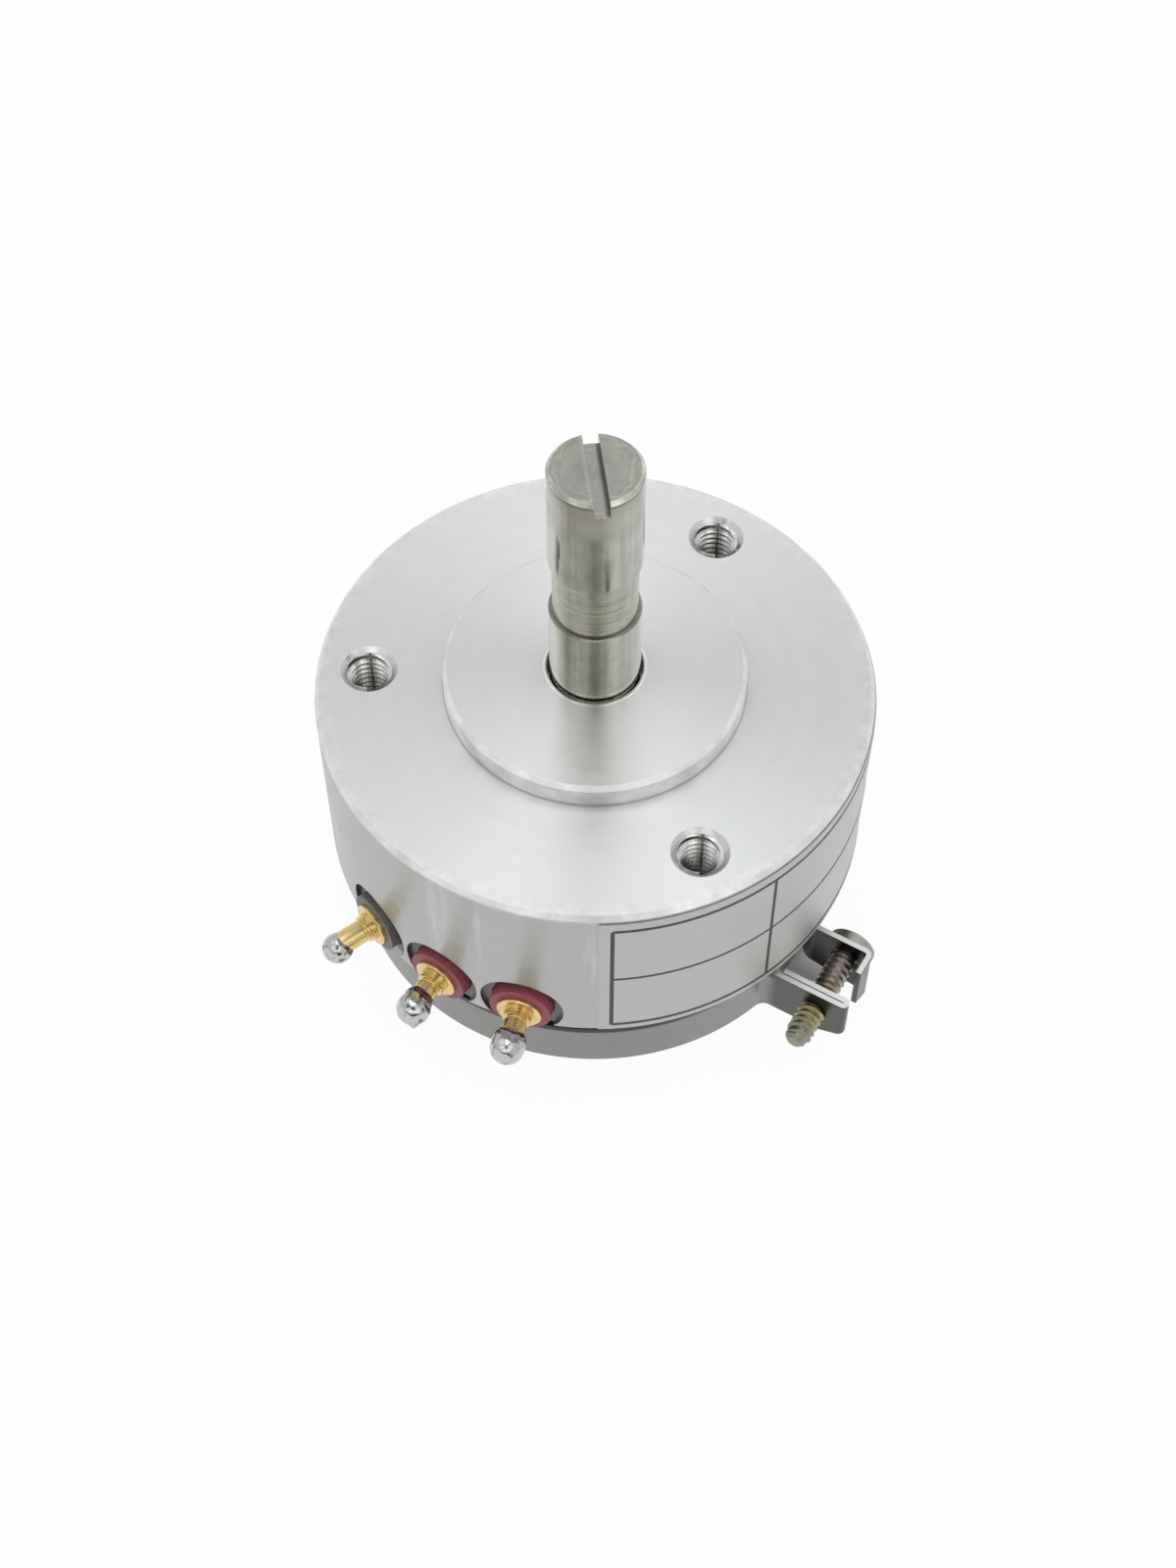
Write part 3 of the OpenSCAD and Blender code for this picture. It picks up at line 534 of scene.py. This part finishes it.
# one material for each slot of the record
FINISH = {
    "housing_aluminium": housing("turned_aluminium"),
    "cover_aluminium": turned("cover_aluminium", (0.36, 0.365, 0.36), 0.34, 0.16, 0.003),
    "strap_steel": strap("strap_steel"),
    "screw_steel": passivated("yellow_zinc"),
    "label_film": film("label_film"),
    "insulator_resin": resin("maroon_resin", (0.32, 0.078, 0.105), 0.5, 3.0, 1.2),
    "insulator_dark": resin("dark_resin", (0.15, 0.15, 0.135), 0.45, 3.0),
    "terminal_gold": plated("gold_plate", (0.77, 0.59, 0.27), 0.2, 1.2, 1.3, 0.75),
    "solder": tinned("bright_tin"),
    "element_resin": resin("element_resin", (0.2, 0.05, 0.06), 0.42, 2.5),
    "track_film": resin("track_film", (0.02, 0.02, 0.021), 0.3, 6.0),
    "collector_metal": plated("collector_plate", (0.66, 0.5, 0.22), 0.26, 1.5, 1.3, 0.85),
    "lead_wire": plated("bare_copper", (0.62, 0.34, 0.2), 0.28, 1.5, 1.3, 0.8),
    "bearing_steel": turned("bearing_steel", (0.6, 0.605, 0.61), 0.14, 0.1, 0.001),
    "cage_metal": plated("cage_brass", (0.52, 0.4, 0.2), 0.32, 1.2),
    "shaft_steel": ground("ground_steel"),
    "spring_steel": plated("spring_steel", (0.2, 0.21, 0.22), 0.34, 1.2),
    "hub_brass": turned("hub_brass", (0.66, 0.5, 0.24), 0.26, 0.14, 0.003),
    "rotor_plastic": resin("rotor_plastic", (0.03, 0.03, 0.032), 0.45, 2.0),
    "wiper_alloy": plated("wiper_alloy", (0.68, 0.6, 0.38), 0.24, 1.5, 1.3, 0.85),
}

# the slot that each solid takes its finish from
DRESS = {
    "housing_aluminium": ("front_housing",),
    "cover_aluminium": ("rear_cover",),
    "strap_steel": ("clamp_band",),
    "screw_steel": ("clamp_screw",),
    "label_film": ("label",),
    "insulator_resin": ("insulator_wiper", "insulator_cw"),
    "insulator_dark": ("insulator_ccw",),
    "terminal_gold": ("terminal_ccw", "terminal_wiper", "terminal_cw"),
    "solder": ("solder_tips",),
    "element_resin": ("element_ring",),
    "track_film": ("resistive_track",),
    "collector_metal": ("collector_ring",),
    "lead_wire": ("lead_ccw", "lead_wiper", "lead_cw"),
    "bearing_steel": ("front_outer_ring", "rear_outer_ring", "front_inner_ring", "rear_inner_ring",
                      "front_balls", "rear_balls", "outer_spacer", "inner_spacer"),
    "cage_metal": ("front_cage", "rear_cage"),
    "shaft_steel": ("shaft",),
    "spring_steel": ("retaining_ring", "shaft_clip", "hub_set_screw"),
    "hub_brass": ("rotor_hub",),
    "rotor_plastic": ("rotor_disc",),
    "wiper_alloy": ("wiper_contact",),
}

for slot, names in DRESS.items():
    for name in names:
        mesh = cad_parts[name].data
        mesh.materials.clear()
        mesh.materials.append(FINISH[slot])


def piece(name, bm, body, slot, material=None):
    """Turn a bmesh into a named piece that rides on a body."""
    bmesh.ops.recalc_face_normals(bm, faces=bm.faces)
    mesh = bpy.data.meshes.new(name)
    bm.to_mesh(mesh)
    bm.free()
    mesh.materials.append(material or FINISH[slot])
    obj = bpy.data.objects.new(name, mesh)
    scene.collection.objects.link(obj)
    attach(obj, body)


def polar(radius, angle, height):
    """Point at a radius, an angle in radians and a height, given in millimetres."""
    return Vector((radius * math.cos(angle), radius * math.sin(angle), height)) * MM


def skin(bm, loops):
    """Faces between neighbouring loops of points."""
    for a, b in zip(loops, loops[1:]):
        for k in range(len(a)):
            bm.faces.new((a[k], a[k - 1], b[k - 1], b[k]))


def thread(place, root_r, crest_r, pitch, length, mouth_r=None):
    """Ridge of a thread along local Z, in millimetres; a mouth radius cuts its first turn to a cone."""
    steps_per_turn = 40
    fade = steps_per_turn / 2
    half_foot, half_tip = 0.46 * pitch, 0.07 * pitch
    steps = round(length / pitch * steps_per_turn)
    bm = bmesh.new()
    loops = []
    for i in range(steps + 1):
        angle = 2 * math.pi * i / steps_per_turn
        height = length * i / steps
        run_out = max(0.05, min(1.0, i / fade, (steps - i) / fade))
        crest = root_r + (crest_r - root_r) * run_out
        if mouth_r:
            crest = max(crest, min(root_r - 0.01, mouth_r - height))
        rise = abs(crest - root_r) / abs(crest_r - root_r)
        half_crest = half_foot + (half_tip - half_foot) * rise
        outline = ((root_r, -half_foot), (crest, -half_crest), (crest, half_crest), (root_r, half_foot))
        loops.append([bm.verts.new(place @ polar(r, angle, height + z)) for r, z in outline])
    skin(bm, loops)
    bm.faces.new(loops[0])
    bm.faces.new(loops[-1])
    return bm


# both threads have the same pitch, and their roots reach a little into the solid
PITCH = 0.5
ROOT_LAP = 0.03

# cut threads in the three mounting holes, each from a little below the face and from its -Y side
MOUNT_RIDGE = 0.25
MOUNT_START = 0.25
MOUNT_TURN = -90
cut_thread = tapped("cut_thread")
for number, hole_turn in enumerate(HOLE_ANGLES, 1):
    mouth = polar(HOLE_PITCH_R, math.radians(hole_turn), -MOUNT_START)
    down = (Matrix.Translation(mouth) @ Matrix.Rotation(math.radians(MOUNT_TURN), 4, "Z")
            @ Matrix.Rotation(math.pi, 4, "X"))
    bm = thread(down, HOLE_R + ROOT_LAP, HOLE_R - MOUNT_RIDGE, PITCH, HOLE_DEPTH - PITCH,
                HOLE_MOUTH_R - MOUNT_START)
    piece(f"mount_thread_{number}", bm, "housing", "housing_aluminium", cut_thread)

# thread of the clamp screw, from the far ear to the chamfered tip
SCREW_RIDGE = 0.2
SCREW_CHAMFER = 0.4
axis = (Matrix.Rotation(math.radians(EAR_TURN), 4, "Z")
        @ Matrix.Translation((SCREW_X * MM, 0, SCREW_Z * MM))
        @ Matrix.Rotation(math.radians(90), 4, "X"))
bm = thread(axis, SCREW_R - ROOT_LAP, SCREW_R + SCREW_RIDGE, PITCH, -SCREW_TIP_Y - SCREW_CHAMFER)
piece("screw_thread", bm, "housing", "screw_steel")


def lathe(profile, count=128):
    """Closed ring turned round Z from (radius, height) points in millimetres."""
    bm = bmesh.new()
    loops = []
    for i in range(count):
        angle = 2 * math.pi * i / count
        loops.append([bm.verts.new(polar(r, angle, z)) for r, z in profile])
    skin(bm, loops + loops[:1])
    for face in bm.faces:
        face.smooth = True
    return bm


# burnished rim where the bore breaks through the top of the boss
RIM_HALF_W = 0.14
RIM_ROUND = 0.05
RIM_FOOT = BOSS_TOP - 0.5
RIM_IN = BORE_R - RIM_HALF_W
RIM_OUT = BORE_R + RIM_HALF_W
RIM_PROFILE = ((RIM_IN, RIM_FOOT), (RIM_IN, BOSS_TOP - 0.06), (RIM_IN + RIM_ROUND, BOSS_TOP + 0.01),
               (RIM_OUT - RIM_ROUND, BOSS_TOP + 0.012), (RIM_OUT, BOSS_TOP - 0.01), (RIM_OUT, RIM_FOOT))
piece("bore_rim", lathe(RIM_PROFILE), "housing", "housing_aluminium", burnished("burnished_edge"))


def band(bm, a0, a1, z0, z1):
    """Thin curved bar on the label between two angles and two heights."""
    inner, outer = LABEL_R - 0.01, LABEL_R + 0.012
    degrees_per_step = 1.5
    count = max(2, math.ceil(abs(a1 - a0) / degrees_per_step) + 1)
    outline = ((inner, z0), (outer, z0), (outer, z1), (inner, z1))
    loops = []
    for i in range(count):
        angle = math.radians(a0 + (a1 - a0) * i / (count - 1))
        loops.append([bm.verts.new(polar(r, angle, z)) for r, z in outline])
    skin(bm, loops)
    bm.faces.new(loops[0])
    bm.faces.new(loops[-1])


# ruling of the label: a frame, one middle line and one column line; the cells stay bare
# each row is a height and a width, each column an angle and a width
RULE_INSET = 2.7
RULE_LEFT = LABEL_FROM + RULE_INSET
RULE_RIGHT = LABEL_FROM + LABEL_SPAN - RULE_INSET
RULE_COLUMN = -48.15
RULE_ROWS = ((-1.4, 0.26), (-7.2, 0.2), (-13.0, 0.26))
RULE_COLUMNS = ((RULE_LEFT, 0.26), (RULE_COLUMN, 0.24), (RULE_RIGHT, 0.26))
bm = bmesh.new()
for z, width in RULE_ROWS:
    band(bm, RULE_LEFT, RULE_RIGHT, z - width / 2, z + width / 2)
for angle, width in RULE_COLUMNS:
    half = math.degrees(width / 2 / LABEL_R)
    band(bm, angle - half, angle + half, RULE_ROWS[-1][0], RULE_ROWS[0][0])
piece("label_ruling", bm, "housing", "label_film", ink("printed_line"))


def stage_plane(name, width, length, place, material):
    """Flat panel of the studio, sizes in metres."""
    bm = bmesh.new()
    bmesh.ops.create_grid(bm, x_segments=1, y_segments=1, size=0.5)
    mesh = bpy.data.meshes.new(name)
    bm.to_mesh(mesh)
    bm.free()
    mesh.materials.append(material)
    obj = bpy.data.objects.new(name, mesh)
    obj.matrix_world = place @ Matrix.Diagonal((width, length, 1, 1))
    scene.collection.objects.link(obj)
    return obj


def facing(spot, aim=Vector((0, 0, 0))):
    """Placement at a spot whose local -Z looks at the aim."""
    turn = (Vector(aim) - Vector(spot)).to_track_quat("-Z", "Y")
    return Matrix.Translation(spot) @ turn.to_matrix().to_4x4()


# floor just below the rear cover, lifted to white apart from the shaded patch seen between the ears
FLOOR_LIFT = 0.95
FLOOR_SIZE = 4.0
FLOOR_Z = REAR_Z - 0.02
SHADE_MID = (17.3, 0.0)
SHADE_R = 2.3
SHADE_SOFT = 0.7
n = Nodes("studio_floor")
n.tree.nodes.remove(n.shader)
path = n.add("ShaderNodeLightPath").outputs
seen = n.math("MAXIMUM", n.math("MAXIMUM", path["Is Camera Ray"], path["Is Glossy Ray"]),
              path["Is Transmission Ray"])
shade_mid = Matrix.Rotation(math.radians(EAR_TURN), 3, "Z") @ Vector((*SHADE_MID, 0)) * MM
here = n.add("ShaderNodeNewGeometry").outputs["Position"]
away = n.add("ShaderNodeVectorMath", {0: n.stretch(here, 1, 1, 0), 1: shade_mid},
             operation="DISTANCE")
lift = n.span(away.outputs["Value"], 0.0, FLOOR_LIFT, (SHADE_R - SHADE_SOFT) * MM, SHADE_R * MM)
matte = n.add("ShaderNodeBsdfDiffuse", {"Color": (0.93, 0.93, 0.93, 1.0)})
glow = n.add("ShaderNodeEmission", {"Color": (1.0, 1.0, 1.0, 1.0), "Strength": 1.0})
blend = n.add("ShaderNodeMixShader", {0: n.math("MULTIPLY", seen, lift),
                                      1: matte.outputs["BSDF"], 2: glow.outputs["Emission"]})
n.link(blend.outputs["Shader"], n.out.inputs["Surface"])
stage_plane("studio_floor", FLOOR_SIZE, FLOOR_SIZE, Matrix.Translation((0, 0, FLOOR_Z * MM)), n.material)


def dark_card(name, width, length, spot, level):
    """Dim warm panel that shows in reflections only."""
    n = Nodes(name)
    n.tree.nodes.remove(n.shader)
    tint = (level, level * 0.96, level * 0.76, 1.0)
    glow = n.add("ShaderNodeEmission", {"Color": tint, "Strength": 1.0})
    n.link(glow.outputs["Emission"], n.out.inputs["Surface"])
    card = stage_plane(name, width, length, facing(spot), n.material)
    card.visible_camera = False


# name, width, length, spot in metres, and brightness
dark_card("lens_card", 0.09, 0.27, (0.015, -0.205, 0.344), 0.02)
dark_card("lens_surround", 0.2, 0.34, (0.02, -0.27, 0.444), 0.42)
dark_card("low_card", 0.8, 0.09, (0.0, -0.5, 0.065), 0.05)

# pale surround
WORLD_LEVEL = 0.78
world = bpy.data.worlds.new("studio")
scene.world = world
world.use_nodes = True
world.node_tree.nodes["Background"].inputs["Color"].default_value = (1.0, 1.0, 1.0, 1.0)
world.node_tree.nodes["Background"].inputs["Strength"].default_value = WORLD_LEVEL


def soft_box(name, spot, width, length, radiance):
    """Rectangular lamp that looks at the object, given by its brightness."""
    lamp = bpy.data.lights.new(name, "AREA")
    lamp.shape = "RECTANGLE"
    lamp.size = width
    lamp.size_y = length
    lamp.energy = radiance * math.pi * width * length
    obj = bpy.data.objects.new(name, lamp)
    obj.matrix_world = facing(spot)
    obj.visible_camera = False
    scene.collection.objects.link(obj)


# name, spot, width and length in metres, and brightness
soft_box("top_box", (0.0, 0.1, 0.62), 0.36, 0.44, 0.98)
soft_box("left_box", (-0.36, 0.16, 0.47), 0.28, 0.3, 0.36)
soft_box("right_box", (0.36, 0.16, 0.47), 0.28, 0.3, 0.36)
soft_box("front_box", (0.05, -0.52, 0.36), 0.7, 0.16, 0.8)
soft_box("near_left_box", (-0.3, -0.28, 0.42), 0.2, 0.3, 0.5)
soft_box("near_right_box", (0.34, -0.28, 0.42), 0.2, 0.3, 0.5)

# camera at the photograph's viewing angle; range and aim in millimetres
VIEW_TURN = math.radians(3.9)
VIEW_TILT = math.radians(55.125)
VIEW_RANGE = 169.06
AIM_SIDE = -0.462
AIM_HEIGHT = -11.89
LENS = 55.413
SENSOR = 36.0
heading = Matrix.Rotation(VIEW_TURN, 3, "Z")
aim = heading @ Vector((AIM_SIDE, 0, AIM_HEIGHT)) * MM
look = heading @ Vector((0, math.cos(VIEW_TILT), -math.sin(VIEW_TILT)))
lens = bpy.data.cameras.new("camera")
lens.lens = LENS
lens.sensor_width = SENSOR
lens.clip_start = MM
camera = bpy.data.objects.new("camera", lens)
camera.matrix_world = facing(aim - look * VIEW_RANGE * MM, aim)
scene.collection.objects.link(camera)
scene.camera = camera

scene.view_settings.view_transform = "Standard"
